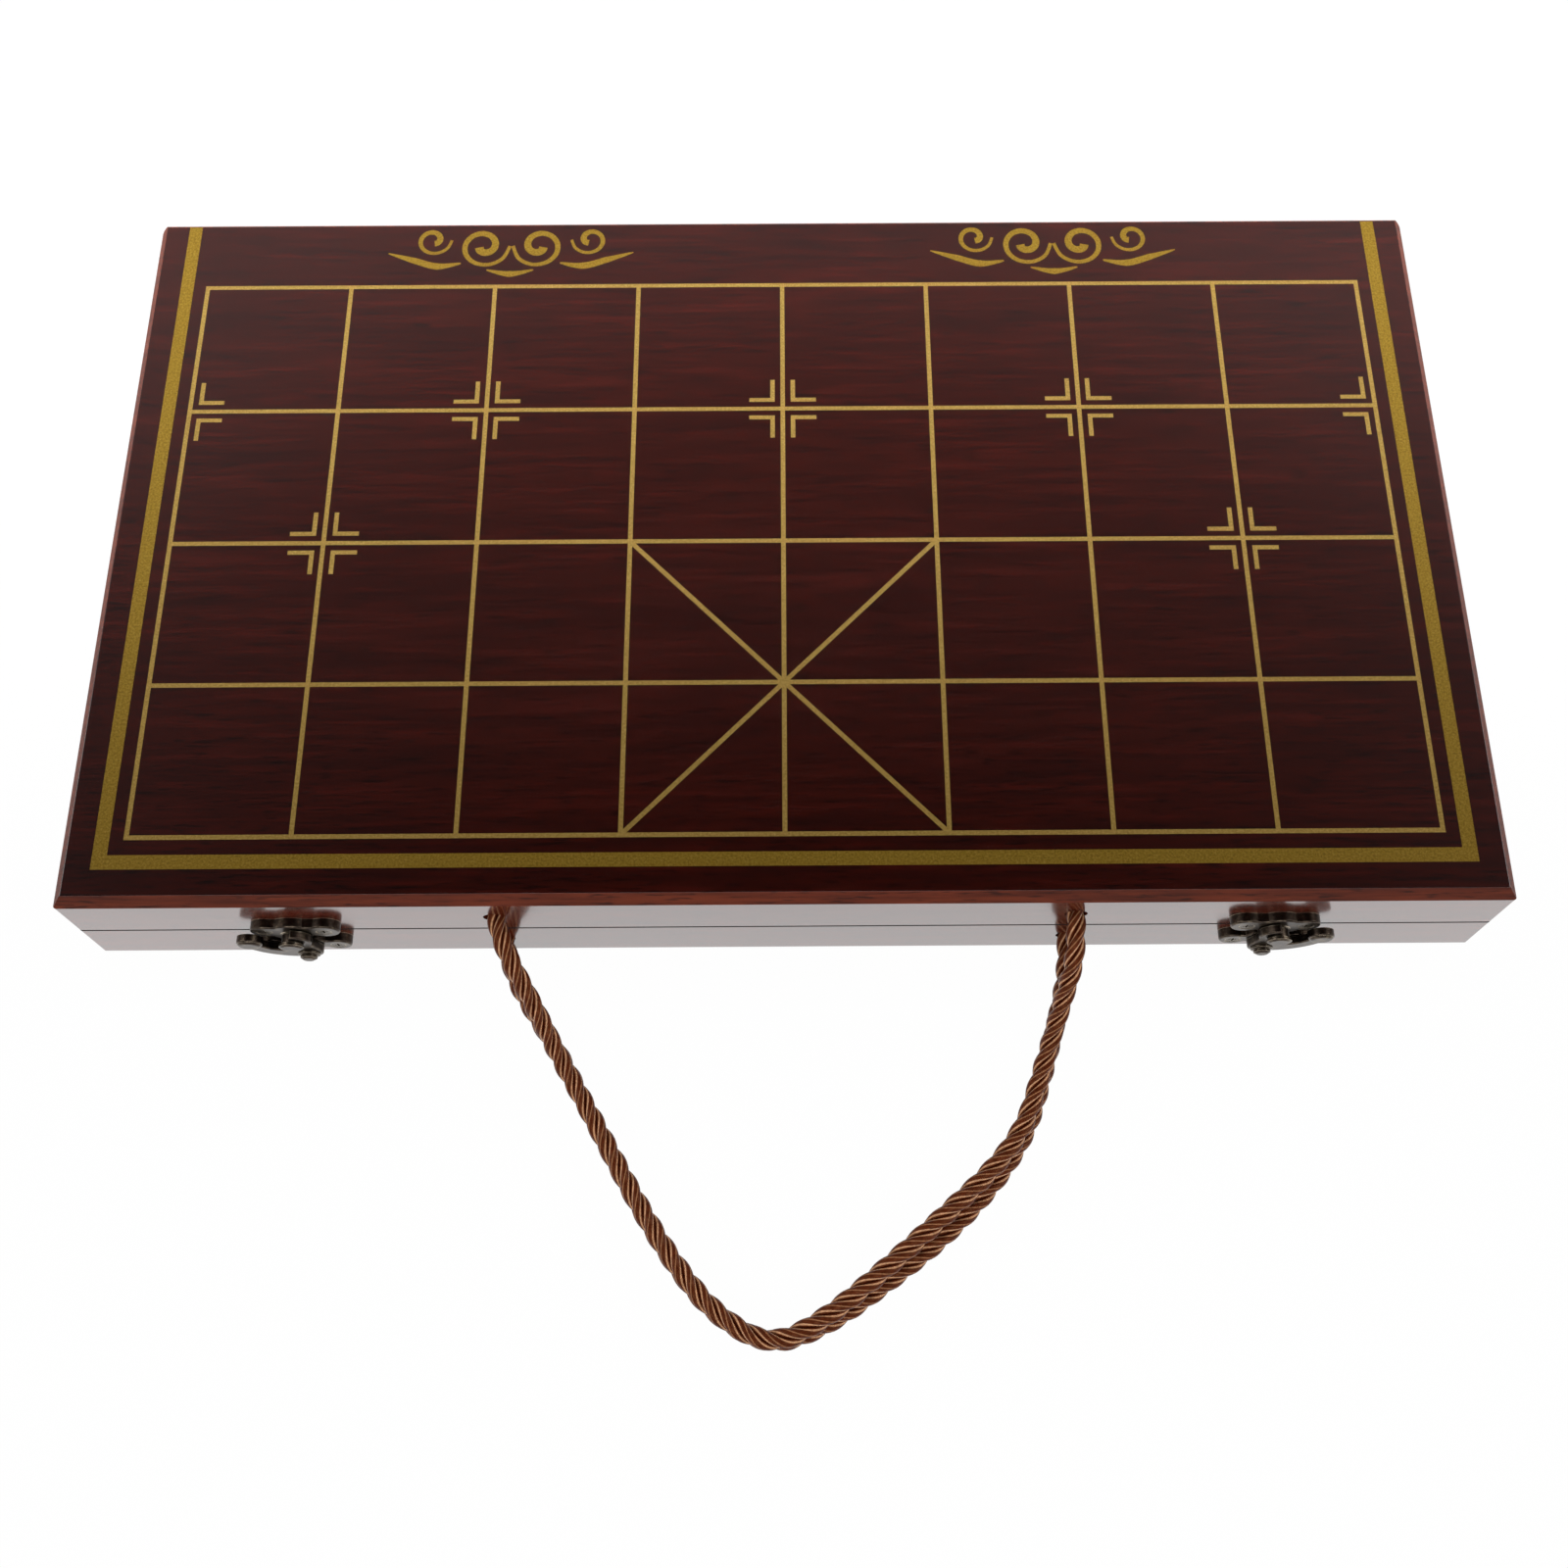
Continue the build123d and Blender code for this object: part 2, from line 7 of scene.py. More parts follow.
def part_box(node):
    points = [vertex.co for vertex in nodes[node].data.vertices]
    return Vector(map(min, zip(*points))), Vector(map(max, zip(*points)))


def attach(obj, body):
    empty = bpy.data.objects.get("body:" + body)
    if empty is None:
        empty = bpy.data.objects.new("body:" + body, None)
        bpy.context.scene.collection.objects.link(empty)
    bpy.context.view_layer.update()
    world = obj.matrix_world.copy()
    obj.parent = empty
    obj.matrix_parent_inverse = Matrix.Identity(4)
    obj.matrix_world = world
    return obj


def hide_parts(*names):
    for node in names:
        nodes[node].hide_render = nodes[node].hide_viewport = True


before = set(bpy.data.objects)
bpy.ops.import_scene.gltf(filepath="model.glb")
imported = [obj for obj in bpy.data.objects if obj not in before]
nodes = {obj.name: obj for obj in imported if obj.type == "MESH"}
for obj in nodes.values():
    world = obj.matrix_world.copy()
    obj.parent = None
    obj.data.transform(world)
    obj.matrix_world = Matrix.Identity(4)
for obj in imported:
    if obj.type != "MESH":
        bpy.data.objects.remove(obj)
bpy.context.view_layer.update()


# ---------------------------------------------------------------------------
# Camera: a standing viewer looks down on the shut case from the latch side.
# The shift only frames the object as a level product shot does.
# ---------------------------------------------------------------------------
EYE = (0.00054, -0.28311, 0.60355)
LOOK = (0.002, 0.4357, -0.9001)
ROLL = -0.09             # degrees
camera_data = bpy.data.cameras.new("camera")
camera_data.lens = 44.477
camera_data.sensor_width = 36.0
camera_data.shift_x = -0.00334
camera_data.shift_y = -0.1295
camera_data.clip_start = 0.01
camera_data.clip_end = 20.0
camera = bpy.data.objects.new("camera", camera_data)
bpy.context.scene.collection.objects.link(camera)
bpy.context.scene.camera = camera
turn = Vector(LOOK).normalized().to_track_quat("-Z", "Y").to_matrix().to_4x4()
roll = Matrix.Rotation(math.radians(ROLL), 4, "Z")
camera.matrix_world = Matrix.Translation(EYE) @ turn @ roll


# ---------------------------------------------------------------------------
# Rope handles: 6 mm satin cord of three plies, right-hand laid, twelve yarns to
# a ply. Each end runs through a hole in the front rail to a stopper knot.
# Each route is that of the CAD rope, as the control points of a NURBS line in mm.
# ---------------------------------------------------------------------------
MM = 0.001
lid_rope_route = [
    (-87, -111.8, 38.5), (-87, -121.8, 38.5), (-82, -133.5, 35.5), (-75.5, -144.5, 25.5),
    (-69, -156.5, 13.5), (-62, -168, 9.6), (-53, -183.5, 9.3), (-43.5, -200, 9.3),
    (-33, -216, 9.3), (-21, -230, 9.3), (-5, -239, 9.3), (11, -231.5, 9.3),
    (29, -217.5, 8.9), (47, -202.5, 8.8), (62, -189.5, 8.8), (71.5, -177.5, 8.9),
    (76.5, -164, 9.6), (80.5, -152, 16), (84, -141, 27), (86.3, -133.5, 35),
    (87, -121.8, 38.5), (87, -111.8, 38.5)]
base_rope_route = [
    (-87, -111.8, 15.5), (-87, -121.8, 15.5), (-83.5, -133, 12), (-77.5, -142.5, 6),
    (-71, -152, 3), (-62.5, -167, 3), (-53.5, -183, 3), (-44, -199.5, 3),
    (-33.5, -215.5, 3), (-21.5, -229.5, 3), (-5, -238.5, 3), (12, -232.5, 3),
    (30, -220.5, 3), (47, -208, 3), (62.5, -193, 3), (73, -178, 3),
    (78, -163.5, 3), (82, -151, 3), (84.8, -141, 4.5), (86.4, -132.5, 11),
    (87, -121.8, 15.5), (87, -111.8, 15.5)]
ROPE = 6.0 * MM          # thickness over the three plies
ROPE_STEP = 0.55 * MM    # between the rings of a ply
LAY = 21.5 * MM          # one turn of a ply along the cord
PLIES = 3
PLY_SHARE = 1 / 2.155    # radius of a ply, where three round plies fill a cord of radius 1
FIRST_PLY = 0.4          # where the first ply starts round the cord, in radians
SIDES = 36               # three corners for each of a ply's twelve yarns
YARN_GROOVE = 0.06       # depth of the furrow between two yarns, as a share of the ply


def read_spline(route):
    """The smooth line of a route, as points along its NURBS spline, in metres."""
    data = bpy.data.curves.new("route", "CURVE")
    data.dimensions = "3D"
    data.resolution_u = 24
    spline = data.splines.new("NURBS")
    spline.points.add(len(route) - 1)
    for point, (x, y, z) in zip(spline.points, route):
        point.co = (x * MM, y * MM, z * MM, 1.0)
    spline.order_u = 3
    spline.use_endpoint_u = True
    holder = bpy.data.objects.new("route", data)
    bpy.context.scene.collection.objects.link(holder)
    mesh = bpy.data.meshes.new_from_object(holder)
    points = [vertex.co.copy() for vertex in mesh.vertices]
    bpy.data.objects.remove(holder)
    bpy.data.meshes.remove(mesh)
    return points


def even_steps(points, step):
    """Points at even distances along a line."""
    placed = [points[0]]
    carried = 0.0
    for before, after in zip(points, points[1:]):
        length = (after - before).length
        while length > 0 and carried + length >= step:
            ratio = (step - carried) / length
            before = before.lerp(after, ratio)
            length = (after - before).length
            placed.append(before.copy())
            carried = 0.0
        carried += length
    placed.append(points[-1])
    return placed


def twist_free_frames(points):
    """A tangent, a normal and a binormal at each point, carried along without twist."""
    frames = []
    normal = Vector((0, 0, 1))
    for index, point in enumerate(points):
        ahead = points[min(index + 1, len(points) - 1)]
        behind = points[max(index - 1, 0)]
        tangent = (ahead - behind).normalized()
        normal = (normal - tangent * normal.dot(tangent)).normalized()
        frames.append((tangent, normal, tangent.cross(normal)))
    return frames


def twisted_plies(points, radius, lay):
    """Plies wound round a line, as vertices, faces and each vertex's turn round its ply."""
    ply = radius * PLY_SHARE
    vertices, faces, turns = [], [], []
    frames = twist_free_frames(points)
    travelled = [0.0]
    for before, after in zip(points, points[1:]):
        travelled.append(travelled[-1] + (after - before).length)
    for strand in range(PLIES):
        start = len(vertices)
        line, outwards = [], []
        for point, (tangent, normal, side), run in zip(points, frames, travelled):
            angle = FIRST_PLY + 2 * math.pi * (strand / PLIES + run / lay)
            outward = normal * math.cos(angle) + side * math.sin(angle)
            line.append(point + outward * (radius - ply))
            outwards.append(outward)
        for ring, centre in enumerate(line):
            tangent = (line[min(ring + 1, len(line) - 1)] - line[max(ring - 1, 0)]).normalized()
            out = (outwards[ring] - tangent * outwards[ring].dot(tangent)).normalized()
            across = tangent.cross(out)
            for corner in range(SIDES):
                turn = corner / SIDES
                around = 2 * math.pi * (turn - 0.5)
                size = ply * (1 - YARN_GROOVE if corner % 3 == 0 else 1.0)
                towards = out * math.cos(around) + across * math.sin(around)
                vertices.append(centre + towards * size)
                turns.append(turn)
        for ring in range(len(line) - 1):
            for corner in range(SIDES):
                a = start + ring * SIDES + corner
                b = start + ring * SIDES + (corner + 1) % SIDES
                faces.append((a, b, b + SIDES, a + SIDES))
        last = start + (len(line) - 1) * SIDES
        faces.append(tuple(start + corner for corner in reversed(range(SIDES))))
        faces.append(tuple(last + corner for corner in range(SIDES)))
    return vertices, faces, turns


def colour(code):
    """An sRGB hex code as the linear colour that a shader takes."""
    channels = [int(code[i:i + 2], 16) / 255 for i in (1, 3, 5)]
    linear = [c / 12.92 if c <= 0.04045 else ((c + 0.055) / 1.055) ** 2.4 for c in channels]
    return (*linear, 1.0)


def add(tree, kind, inputs=(), stops=(), **settings):
    """Add a node: its settings, its colour stops, and a value or a link for each input."""
    node = tree.nodes.new(kind)
    for name, value in settings.items():
        setattr(node, name, value)
    while len(stops) > len(node.color_ramp.elements if stops else ()):
        node.color_ramp.elements.new(0.5)
    for index, (position, code) in enumerate(stops):
        node.color_ramp.elements[index].position = position
        node.color_ramp.elements[index].color = colour(code)
    for name, value in dict(inputs).items():
        if isinstance(value, bpy.types.NodeSocket):
            tree.links.new(value, node.inputs[name])
        else:
            node.inputs[name].default_value = value
    return node


def new_material(name, **values):
    """A material with one Principled shader, whose plain values are given by name."""
    material = bpy.data.materials.new(name)
    material.use_nodes = True
    shader = material.node_tree.nodes["Principled BSDF"]
    for key, value in values.items():
        shader.inputs[key.replace("_", " ")].default_value = value
    return material, material.node_tree, shader


def speckle(tree, per_metre, detail=2.0, rough=0.5, shift=(0.0, 0.0, 0.0)):
    """Noise on object coordinates, with so many features to a metre along each axis."""
    where = add(tree, "ShaderNodeTexCoord").outputs["Object"]
    spread = add(tree, "ShaderNodeMapping", {"Vector": where, "Scale": per_metre,
                                             "Location": shift}).outputs[0]
    return add(tree, "ShaderNodeTexNoise", {"Vector": spread, "Scale": 1.0,
                                            "Detail": detail, "Roughness": rough}).outputs["Fac"]


def finish(tree, shader, tone, relief, strength, height):
    """Link a colour and a relief, of a height in metres, to a shader."""
    tree.links.new(tone, shader.inputs["Base Color"])
    dents = add(tree, "ShaderNodeBump", {"Height": relief, "Strength": strength,
                                         "Distance": height})
    tree.links.new(dents.outputs[0], shader.inputs["Normal"])


# Satin yarn: smooth and bright. Each ply is wide dark brown yarn with a thin pale line along its
# middle, and the pale copper bands along both edges of each ply are partly paler yarn and partly
# painted highlight. The fibres, drawn 1.1 mm wide, break the sheen. A yarn is 0.7 mm wide.
satin, tree, shader = new_material("brown satin yarn, copper highlights painted in", Roughness=0.36,
                                   Specular_IOR_Level=0.28, Specular_Tint=colour("#f0b07c"))
turn = add(tree, "ShaderNodeAttribute", attribute_name="ply_turn").outputs["Fac"]
# Painted highlight: the pale copper stops at 0.27 to 0.315 and 0.675 to 0.72 light the edges of
# each ply.
yarns_and_highlights = add(tree, "ShaderNodeValToRGB", {"Fac": turn}, [
    (0.0, "#5e2611"), (0.25, "#672b14"), (0.27, "#efb78c"), (0.315, "#d69f74"),
    (0.335, "#5f2813"), (0.47, "#5a2410"), (0.49, "#b8825c"), (0.51, "#a8734f"),
    (0.53, "#5e2611"), (0.655, "#632a14"), (0.675, "#f0b98f"), (0.72, "#d69f74"),
    (0.74, "#5e2611")]).outputs[0]
fibre = add(tree, "ShaderNodeValToRGB", {"Fac": speckle(tree, (900, 900, 900), 3, 0.6)},
            [(0.3, "#c0c0c0"), (0.7, "#ffffff")]).outputs[0]
tone = add(tree, "ShaderNodeMix", {0: 1.0, 6: yarns_and_highlights, 7: fibre}, data_type="RGBA",
           blend_type="MULTIPLY").outputs[2]
finish(tree, shader, tone, speckle(tree, (5200, 5200, 5200), 1), 0.25, 0.00006)


def new_object(name, vertices, faces, material, smooth=True):
    """A mesh object at the origin, with its vertices where they belong."""
    mesh = bpy.data.meshes.new(name)
    mesh.from_pydata(vertices, [], faces)
    mesh.update()
    mesh.materials.append(material)
    mesh.polygons.foreach_set("use_smooth", [smooth] * len(mesh.polygons))
    thing = bpy.data.objects.new(name, mesh)
    bpy.context.scene.collection.objects.link(thing)
    return thing


def satin_piece(name, parts, body, cad_node):
    """One object from several lengths of twisted cord."""
    vertices, faces, turns = [], [], []
    for part_vertices, part_faces, part_turns in parts:
        start = len(vertices)
        vertices += part_vertices
        faces += [tuple(start + index for index in face) for face in part_faces]
        turns += part_turns
    piece = new_object(name, vertices, faces, satin)
    marks = piece.data.attributes.new("ply_turn", "FLOAT", "POINT")
    marks.data.foreach_set("value", turns)
    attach(piece, body)
    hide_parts(cad_node)
    return piece


KNOT_CORD = 2.1 * MM     # radius of the cord pulled tight in a knot
KNOT_LOOP = 2.9 * MM     # the knot's loops lie at this radius, in and out by the swing
KNOT_SWING = 1.9 * MM
KNOT_RISE = 2.7 * MM     # half the height of the loops along the rope hole
KNOT_MIDDLE = 5.0 * MM   # middle of a knot from the inner face of its rail
KNOT_LAY = 15 * MM
KNOT_START = -30         # degrees along the line, where the tail comes out
KNOT_STEPS = 160


def overhand_knot(end):
    """A cord tied round itself: a trefoil line round the end of a rope."""
    points = []
    for step in range(KNOT_STEPS + 1):
        t = math.radians(KNOT_START + 360 * step / KNOT_STEPS)
        radius = KNOT_LOOP + KNOT_SWING * math.cos(3 * t)
        points.append(Vector((end[0] * MM + radius * math.cos(2 * t),
                              end[1] * MM + KNOT_MIDDLE + KNOT_RISE * math.sin(3 * t),
                              end[2] * MM + radius * math.sin(2 * t))))
    return twisted_plies(points, KNOT_CORD, KNOT_LAY)


def rope_handle(half, route):
    """A rope with its two knots, on one half of the case."""
    smooth_line = read_spline(route)
    plies = twisted_plies(even_steps(smooth_line, ROPE_STEP), ROPE / 2, LAY)
    rope = satin_piece(half + "_rope_cord", [plies], half, half + "_rope")
    tied = [overhand_knot(route[0]), overhand_knot(route[-1])]
    knots = satin_piece(half + "_rope_end_knots", tied, half, half + "_rope_knots")


rope_handle("lid", lid_rope_route)
rope_handle("base", base_rope_route)


# ---------------------------------------------------------------------------
# Wooden case: rosewood-grain laminate on board, under a semi-gloss lacquer.
# Four rails are glued under each panel. The bevels are rubbed matte, and the outer arrises of the
# rims are painted dark where they meet at the seam, as painted shade of the seam gap.
# ---------------------------------------------------------------------------
SEAM = 27.0 * MM
FLAT_FROM = 26.96 * MM     # the playing face, from the seam
BEVEL_FROM = 23.2 * MM     # where the bevels begin, from the seam
RIM_FROM = 0.21 * MM       # the rims' outer arrises carry painted shade of the seam gap, from the seam
RIM_TO = 0.55 * MM
face_tones = [(0.34, "#1f0402"), (0.46, "#260502"), (0.54, "#2b0602"), (0.66, "#350904")]
edge_tones = [(0.36, "#4a180e"), (0.5, "#5e2213"), (0.64, "#722b1a")]
bevel_tones = [(0.36, "#4c1c0e"), (0.5, "#602613"), (0.64, "#733019")]
pore_tones = [(0.33, "#5a5a5a"), (0.45, "#ffffff")]
# Painted shade: the colour of the shadow in the seam gap, laid on the rims' outer arrises.
SEAM_SHADE = "#120504"
STREAK_SHARE = 0.72        # how far the fine streaks rule over the broad bands
PORE_DEPTH = 0.7           # how far the pores darken the wood


# Rosewood under lacquer: a deep red brown with fine dark dashes along the grain, and a
# clear coat that mirrors pale walls at a low angle.
def rosewood(name, along_x):
    """Wood grain along X or along Y, in the tones of the face, the bevels and the sides."""
    material, tree, shader = new_material(name, Coat_Roughness=0.12, Coat_IOR=1.5)

    def grain(length, width, detail, shift):
        spread = (length, width, width) if along_x else (width, length, width)
        return speckle(tree, spread, detail, 0.6, shift)

    broad = grain(7, 70, 3, (0.0, 0.0, 0.0))            # bands 140 mm long, 14 mm wide
    streak = grain(32, 520, 3, (3.1, 5.7, 1.3))         # streaks 31 mm long, 1.9 mm wide
    pore = grain(125, 1150, 2, (7.7, 2.9, 4.1))         # pores 8 mm long, 0.9 mm wide
    both = add(tree, "ShaderNodeMix", {0: STREAK_SHARE, 2: broad, 3: streak}).outputs[0]
    where = add(tree, "ShaderNodeTexCoord").outputs["Object"]
    level = add(tree, "ShaderNodeSeparateXYZ", {0: where}).outputs["Z"]
    off = add(tree, "ShaderNodeMath", {0: level, 1: SEAM}, operation="SUBTRACT").outputs[0]
    away = add(tree, "ShaderNodeMath", {0: off}, operation="ABSOLUTE").outputs[0]
    flat = add(tree, "ShaderNodeMath", {0: away, 1: FLAT_FROM},
               operation="GREATER_THAN").outputs[0]
    outer = add(tree, "ShaderNodeMath", {0: away, 1: BEVEL_FROM},
                operation="GREATER_THAN").outputs[0]
    bevel = add(tree, "ShaderNodeMath", {0: outer, 1: flat}, operation="SUBTRACT").outputs[0]
    near = add(tree, "ShaderNodeMath", {0: away, 1: RIM_TO}, operation="LESS_THAN").outputs[0]
    past = add(tree, "ShaderNodeMath", {0: away, 1: RIM_FROM},
               operation="GREATER_THAN").outputs[0]
    seam_shade_zone = add(tree, "ShaderNodeMath", {0: near, 1: past}, operation="MULTIPLY").outputs[0]
    matte = add(tree, "ShaderNodeMath", {0: bevel, 1: seam_shade_zone}, operation="MAXIMUM").outputs[0]
    tone = add(tree, "ShaderNodeValToRGB", {"Fac": both}, edge_tones).outputs[0]
    for mask, tones in ((bevel, bevel_tones), (flat, face_tones)):
        zone = add(tree, "ShaderNodeValToRGB", {"Fac": both}, tones).outputs[0]
        tone = add(tree, "ShaderNodeMix", {0: mask, 6: tone, 7: zone}, data_type="RGBA").outputs[2]
    # Painted shade: the rims' outer arrises by the seam take the dark colour of the shadow in the
    # seam gap.
    tone = add(tree, "ShaderNodeMix", {0: seam_shade_zone, 6: tone, 7: colour(SEAM_SHADE)},
               data_type="RGBA").outputs[2]
    dark = add(tree, "ShaderNodeValToRGB", {"Fac": pore}, pore_tones).outputs[0]
    tone = add(tree, "ShaderNodeMix", {0: PORE_DEPTH, 6: tone, 7: dark}, data_type="RGBA",
               blend_type="MULTIPLY").outputs[2]
    for socket, glossy, dull in (("Roughness", 0.22, 0.55), ("Coat Weight", 0.92, 0.0),
                                 ("Specular IOR Level", 0.37, 0.2)):
        amount = add(tree, "ShaderNodeMath", {0: matte, 1: dull - glossy, 2: glossy},
                     operation="MULTIPLY_ADD").outputs[0]
        tree.links.new(amount, shader.inputs[socket])
    relief = add(tree, "ShaderNodeMix", {0: 0.5, 2: pore, 3: streak}).outputs[0]
    finish(tree, shader, tone, relief, 0.04, 0.00008)
    return material


def dress(names, material):
    """Give CAD nodes a material."""
    for name in names:
        mesh = nodes[name].data
        mesh.materials.clear()
        mesh.materials.append(material)


wide_grain = rosewood("rosewood laminate, lacquered, grain along the width", True)
deep_grain = rosewood("rosewood laminate, lacquered, grain along the depth", False)
for half in ("base", "lid"):
    dress([half + "_panel", half + "_front_rail", half + "_back_rail"], wide_grain)
    dress([half + "_left_rail", half + "_right_rail"], deep_grain)


# ---------------------------------------------------------------------------
# Board print: gold ink, screen printed on the outer face of both halves.
# A film of ink stands 0.03 mm proud of the lacquer, in lines 1.45 mm wide.
# ---------------------------------------------------------------------------
# Bronze powder in a clear binder: a soft metallic shine. The grit is far finer than it is
# drawn here, 0.7 mm, so that it shows at all. Large areas print darker than thin lines.
def gold_ink(name, tones):
    material, tree, shader = new_material(name, Metallic=0.6, Roughness=0.32)
    tone = add(tree, "ShaderNodeValToRGB", {"Fac": speckle(tree, (1500, 1500, 1500), 3, 0.7)},
               tones).outputs[0]
    finish(tree, shader, tone, speckle(tree, (3500, 3500, 3500), 2), 0.12, 0.00004)
    return material


band_gold = gold_ink("gold printing ink",
                     [(0.3, "#725716"), (0.5, "#907221"), (0.72, "#ab8b40")])
line_gold = gold_ink("pale gold printing ink",
                     [(0.3, "#8c6f30"), (0.5, "#a98a45"), (0.72, "#c2a45e")])

# Sizes of the print, in millimetres.
TOP = 54.0           # the playing face of the lid; the base's is at 0
INK = 0.03           # how far the ink stands above the lacquer
BITE = 0.01          # how far it reaches below
LAYER = 0.004        # where lines cross, the upper one is thicker by this
CELL = 48.8
FIRST_ROW = -100.4
LINE = 1.45
FOLD = 119.9         # the print ends here, short of the fold
print_strips = []    # the corners of a strip, its ink's height, and whether it is of the band


def strip(x0, y0, x1, y1, width, height=INK, band=False):
    """A straight line of ink."""
    along = Vector((x1 - x0, y1 - y0)).normalized()
    across = Vector((-along.y, along.x)) * width / 2
    ends = Vector((x0, y0)), Vector((x1, y1))
    corners = [ends[0] - across, ends[1] - across, ends[1] + across, ends[0] + across]
    print_strips.append((corners, height, band))


def col(index):
    """X of a line that runs from front to back."""
    return (index - 4) * CELL


def row(index):
    """Y of a line that runs from side to side."""
    return FIRST_ROW + index * CELL


half_line = LINE / 2
for index in range(5):
    strip(col(0) - half_line, row(index), col(8) + half_line, row(index), LINE)
for index in range(9):
    strip(col(index), row(0) - half_line, col(index), row(4) + half_line, LINE, INK - LAYER)
strip(col(3), row(0), col(5), row(2), LINE, INK - 2 * LAYER)
strip(col(5), row(0), col(3), row(2), LINE, INK - 3 * LAYER)

# Corner marks show where the cannons and the soldiers start.
MARK_NEAR = 3.35     # from the middle of a board line to that of a mark
MARK_REACH = 11.0
for column, line_row in [(1, 2), (7, 2), (0, 3), (2, 3), (4, 3), (6, 3), (8, 3)]:
    for right in (-1, 1):
        if (column == 0 and right < 0) or (column == 8 and right > 0):
            continue
        for up in (-1, 1):
            x, y = col(column), row(line_row)
            near = MARK_NEAR - half_line
            mark_x, mark_y = x + right * MARK_NEAR, y + up * MARK_NEAR
            strip(x + right * near, mark_y, x + right * MARK_REACH, mark_y, LINE)
            strip(mark_x, y + up * (near + LINE), mark_x, y + up * MARK_REACH, LINE)

# The frame band runs round the outside and stops at the fold.
BAND = 4.4
BAND_X = 202.3
BAND_Y = -107.95
strip(-BAND_X - BAND / 2, BAND_Y, BAND_X + BAND / 2, BAND_Y, BAND, band=True)
for right in (-1, 1):
    strip(right * BAND_X, BAND_Y + BAND / 2, right * BAND_X, FOLD, BAND, band=True)


# Cloud scrolls stand in the river beside the fold, two on each half of the board.
STROKE_STEPS = 8
CURL_STEPS = 14


def brush(points, widths):
    """A brush stroke: a smooth line through the points, whose width changes."""
    curve = []
    ends = [points[0]] + list(points) + [points[-1]]
    for index in range(len(points) - 1):
        a, b, c, d = [Vector(p) for p in ends[index:index + 4]]
        for step in range(STROKE_STEPS):
            t = step / STROKE_STEPS
            spot = 0.5 * (2 * b + (c - a) * t + (2 * a - 5 * b + 4 * c - d) * t * t
                          + (3 * b - a - 3 * c + d) * t ** 3)
            width = widths[index] + (widths[index + 1] - widths[index]) * t
            curve.append((spot, width))
    curve.append((Vector(points[-1]), widths[-1]))
    near_side, far_side = [], []
    for index, (point, width) in enumerate(curve):
        ahead = curve[min(index + 1, len(curve) - 1)][0]
        behind = curve[max(index - 1, 0)][0]
        tangent = (ahead - behind).normalized()
        across = Vector((-tangent.y, tangent.x)) * width / 2
        near_side.append(point + across)
        far_side.append(point - across)
    for index in range(len(curve) - 1):
        corners = [near_side[index], far_side[index], far_side[index + 1], near_side[index + 1]]
        if all(corner.y <= FOLD for corner in corners):
            print_strips.append((corners, INK, True))


def curl(cx, cy, start, end, r_start, r_end, w_start, w_end):
    """A spiral brush stroke round a centre, between two angles, radii and widths."""
    points, widths = [], []
    for index in range(CURL_STEPS + 1):
        t = index / CURL_STEPS
        angle = math.radians(start + (end - start) * t)
        radius = r_start + (r_end - r_start) * t
        points.append((cx + radius * math.cos(angle), cy + radius * math.sin(angle)))
        widths.append(w_start + (w_end - w_start) * t)
    brush(points, widths)


SCROLL_X = 93.0
for side in (-1, 1):
    x = side * SCROLL_X
    for way in (-1, 1):
        inner = 180 if way > 0 else 0
        curl(x + way * 9.5, 111.5, inner, inner + way * 520, 9.0, 1.6, 1.2, 3.0)
        curl(x + way * 27.0, 114.0, inner, inner + way * 430, 6.4, 1.4, 1.0, 2.4)
        brush([(x + way * 17.0, 104.4), (x + way * 25.0, 103.2), (x + way * 33.0, 105.6),
               (x + way * 42.0, 108.6)], [0.6, 2.6, 2.4, 0.4])
    brush([(x - 8.0, 101.6), (x, 99.9), (x + 8.0, 101.6)], [0.5, 2.4, 0.5])


def print_mesh(name, flip):
    """The ink as thin closed strips; flip puts them under the base."""
    vertices, faces, of_band = [], [], []
    for corners, height, band in print_strips:
        start = len(vertices)
        for z in (TOP - BITE, TOP + height):
            for corner in corners:
                level = TOP - z if flip else z
                vertices.append((corner.x * MM, corner.y * MM, level * MM))
        count = len(corners)
        bottom = [start + index for index in range(count)]
        top = [start + count + index for index in range(count)]
        walls = [(bottom[i], bottom[(i + 1) % count], top[(i + 1) % count], top[i])
                 for i in range(count)]
        skin = [tuple(reversed(bottom)), tuple(top)] + walls
        if flip:
            skin = [tuple(reversed(face)) for face in skin]
        faces += skin
        of_band += [int(band)] * len(skin)
    film = new_object(name, vertices, faces, line_gold, smooth=False)
    film.data.materials.append(band_gold)
    film.data.polygons.foreach_set("material_index", of_band)
    return film


for half, flip in (("lid", False), ("base", True)):
    ink = print_mesh(half + "_board_print", flip)
    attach(ink, half)


# ---------------------------------------------------------------------------
# Swing latches: zinc castings, plated antique bronze. Each plate is screwed to
# its half, the lever turns on a rivet, and its claw hooks round the lid's post.
# ---------------------------------------------------------------------------
# Antique bronze: nearly black in the hollows, mottled 2.4 mm wide, and pale at the edges, which
# are where a rounded normal leaves the true one: the pale edges are partly worn plating and partly
# painted highlight.
WEAR_AND_HIGHLIGHT_REACH = 0.35 * MM
bronze, tree, shader = new_material("antique bronze plating", Metallic=1.0, Roughness=0.3)
patina = add(tree, "ShaderNodeValToRGB", {"Fac": speckle(tree, (420, 420, 420), 4, 0.65)},
             [(0.34, "#332b26"), (0.52, "#493f37"), (0.7, "#6e6252")]).outputs[0]
rounded = add(tree, "ShaderNodeBevel", {"Radius": WEAR_AND_HIGHLIGHT_REACH}, samples=6).outputs[0]
true = add(tree, "ShaderNodeNewGeometry").outputs["Normal"]
